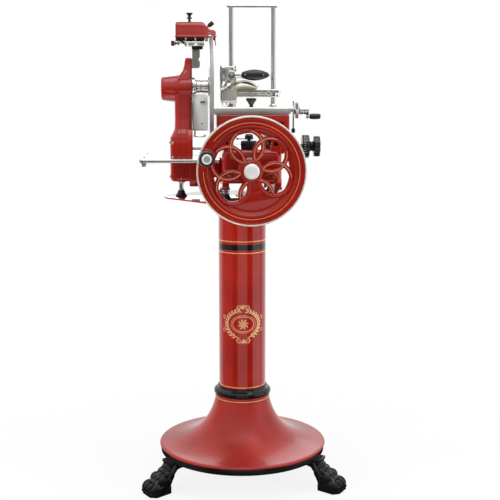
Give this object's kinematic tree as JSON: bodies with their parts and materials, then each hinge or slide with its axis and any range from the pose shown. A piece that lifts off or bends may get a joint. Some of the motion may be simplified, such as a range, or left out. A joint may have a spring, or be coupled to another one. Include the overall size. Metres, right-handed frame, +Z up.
{
  "type": "hand crank meat slicer",
  "caption": "Hand-cranked meat slicer: a spoked flywheel turns a round upright blade and slides the meat table past it; on a column pedestal with paw feet.",
  "frame": {"origin": "On the floor under the column's axis, which is the bottom centre of the bounding box.", "axes": "+Z up along the column; -Y towards the operator, who stands in front of the flywheel; +X to the operator's right, towards the feed crank."},
  "size_m": [0.6436, 0.72, 1.503],
  "materials": {
    "red_enamel": "deep gloss enamel",
    "black_enamel": "gloss enamel",
    "black_iron": "glossy painted casting",
    "black_knob": "polished moulding",
    "rubber_foot": "moulded",
    "chrome": "polished",
    "steel": "turned",
    "blade_steel": "ground and polished",
    "cast_metal": "polished casting",
    "bronze": "bored",
    "grinding_grit": "fine grit"
  },
  "bodies": {
    "base": {"lion_foot_left": "black_iron", "lion_foot_right": "black_iron", "lion_foot_rear": "black_iron", "base_ring": "black_iron", "base_bell": "red_enamel", "collar_ring": "black_enamel", "column_tube": "red_enamel", "stand_plate": "red_enamel", "tie_rod": "steel", "base_casting": "red_enamel", "guide_rail_left": "steel", "guide_rail_right": "steel", "levelling_foot_column": "rubber_foot", "levelling_foot_front_left": "rubber_foot", "levelling_foot_front_right": "rubber_foot", "levelling_foot_rear_left": "rubber_foot", "levelling_foot_rear_right": "rubber_foot", "blade_column": "red_enamel", "chain_case": "red_enamel", "spindle_nose": "chrome", "main_bush": "bronze", "drive_chain": "steel", "receiving_tray": "chrome", "slice_deflector": "chrome", "sharpener_frame": "chrome", "sharpener_cover": "red_enamel"},
    "wheel": {"flywheel": "red_enamel", "hub_cap": "chrome", "main_shaft": "steel", "handle_spindle": "chrome"},
    "wheel_grip": {"crank_handle": "black_knob"},
    "cross_shaft": {"crank_shaft": "steel", "bevel_gear_cross": "steel", "lower_sprocket": "steel"},
    "blade_body": {"blade_shaft": "steel", "blade": "blade_steel", "blade_retainer": "chrome"},
    "sector": {"sector_lever": "steel"},
    "carriage_body": {"carriage": "red_enamel", "carriage_rack": "steel", "slide_bed": "chrome"},
    "table_body": {"meat_table": "blade_steel", "guide_rods": "chrome"},
    "screw_body": {"feed_screw": "steel", "ratchet_wheel": "steel", "feed_crank": "chrome"},
    "screw_grip": {"feed_grip": "black_knob"},
    "pawl_body": {"feed_pawl": "chrome"},
    "clamp_body": {"clamp_crosshead": "cast_metal", "press_foot": "blade_steel"},
    "lever_body": {"clamp_lever": "chrome", "clamp_handle": "black_knob"},
    "table_lock": {"table_lock_knob": "black_knob"},
    "thickness": {"thickness_knob": "black_knob"},
    "carriage_lock": {"carriage_lock_knob": "black_knob"},
    "plunger": {"plunger_knob": "black_knob"},
    "hone_button": {"hone_knob": "black_knob"},
    "grinder": {"grinding_stone": "grinding_grit"},
    "honer": {"honing_stone": "grinding_grit"},
    "cover_screw": {"lock_screw": "black_knob"}
  },
  "joints": [
    {"name": "flywheel_spin", "type": "hinge", "parent": "base", "child": "wheel", "pos_m": [0.017, 0, 1.007], "axis": [0, 1, 0], "continuous": true},
    {"name": "grip_spin", "type": "hinge", "parent": "wheel", "child": "wheel_grip", "pos_m": [-0.1133, -0.3, 1.04933], "axis": [0, 1, 0], "continuous": true},
    {"name": "cross_shaft_spin", "type": "hinge", "parent": "base", "child": "cross_shaft", "pos_m": [0, 0, 1.007], "axis": [1, 0, 0], "continuous": true},
    {"name": "blade_spin", "type": "hinge", "parent": "base", "child": "blade_body", "pos_m": [0, 0, 1.25], "axis": [1, 0, 0], "continuous": true},
    {"name": "carriage_slide", "type": "slide", "parent": "base", "child": "carriage_body", "axis": [0, 1, 0], "range_m": [-0.1, 0.1]},
    {"name": "sector_swing", "type": "hinge", "parent": "base", "child": "sector", "pos_m": [0.072, 0, 0.951], "axis": [1, 0, 0], "range_deg": [-44, 44]},
    {"name": "feed_screw_spin", "type": "hinge", "parent": "table_body", "child": "screw_body", "pos_m": [0.1, 0, 1.17615], "axis": [1, 0, 0], "range_deg": [0, 4130]},
    {"name": "table_feed", "type": "slide", "parent": "carriage_body", "child": "table_body", "axis": [1, 0, 0], "range_m": [0, 0.115]},
    {"name": "feed_grip_spin", "type": "hinge", "parent": "screw_body", "child": "screw_grip", "pos_m": [0.226, 0, 1.15815], "axis": [1, 0, 0], "continuous": true},
    {"name": "pawl_swing", "type": "hinge", "parent": "table_body", "child": "pawl_body", "pos_m": [0.159, 0, 1.17615], "axis": [1, 0, 0], "range_deg": [-12, 12], "stiffness_Nm_per_rad": 0.3},
    {"name": "clamp_slide", "type": "slide", "parent": "table_body", "child": "clamp_body", "axis": [0, 0, 1], "range_m": [0, 0.17]},
    {"name": "clamp_lever_lift", "type": "hinge", "parent": "clamp_body", "child": "lever_body", "pos_m": [-0.0298, 0.07, 1.286], "axis": [0, 1, 0], "range_deg": [-50, 0]},
    {"name": "table_lock_turn", "type": "hinge", "parent": "table_body", "child": "table_lock", "pos_m": [0.027, -0.03, 1.2], "axis": [0, 0, 1], "range_deg": [-45, 45]},
    {"name": "thickness_turn", "type": "hinge", "parent": "base", "child": "thickness", "pos_m": [0.2, -0.06, 1.069], "axis": [1, 0, 0], "range_deg": [0, 330]},
    {"name": "carriage_lock_turn", "type": "hinge", "parent": "base", "child": "carriage_lock", "pos_m": [0.014, -0.15, 1.08], "axis": [0, 0, 1], "range_deg": [-90, 90]},
    {"name": "plunger_push", "type": "slide", "parent": "base", "child": "plunger", "axis": [0, 0, 1], "range_m": [-0.008, 0], "stiffness_N_per_m": 300, "springref_m": 0.003},
    {"name": "hone_push", "type": "slide", "parent": "base", "child": "hone_button", "axis": [0.6691, 0, 0.7431], "range_m": [-0.004, 0], "stiffness_N_per_m": 300, "springref_m": 0.002},
    {"name": "grinding_spin", "type": "hinge", "parent": "base", "child": "grinder", "pos_m": [-0.11, -0.017, 1.4], "axis": [1, 0, 0], "continuous": true},
    {"name": "honing_spin", "type": "hinge", "parent": "base", "child": "honer", "pos_m": [-0.086, 0, 1.4], "axis": [1, 0, 0], "continuous": true},
    {"name": "lock_screw_turn", "type": "hinge", "parent": "base", "child": "cover_screw", "pos_m": [-0.21, 0, 1.38], "axis": [1, 0, 0], "range_deg": [-360, 360]}
  ],
  "couplings": [
    {"joint": "cross_shaft_spin", "follows": "flywheel_spin", "ratio": -1},
    {"joint": "blade_spin", "follows": "flywheel_spin", "ratio": -3},
    {"joint": "sector_swing", "follows": "carriage_slide", "rad_per_m": -7.4627},
    {"joint": "table_feed", "follows": "feed_screw_spin", "m_per_rad": 0.0015915}
  ]
}
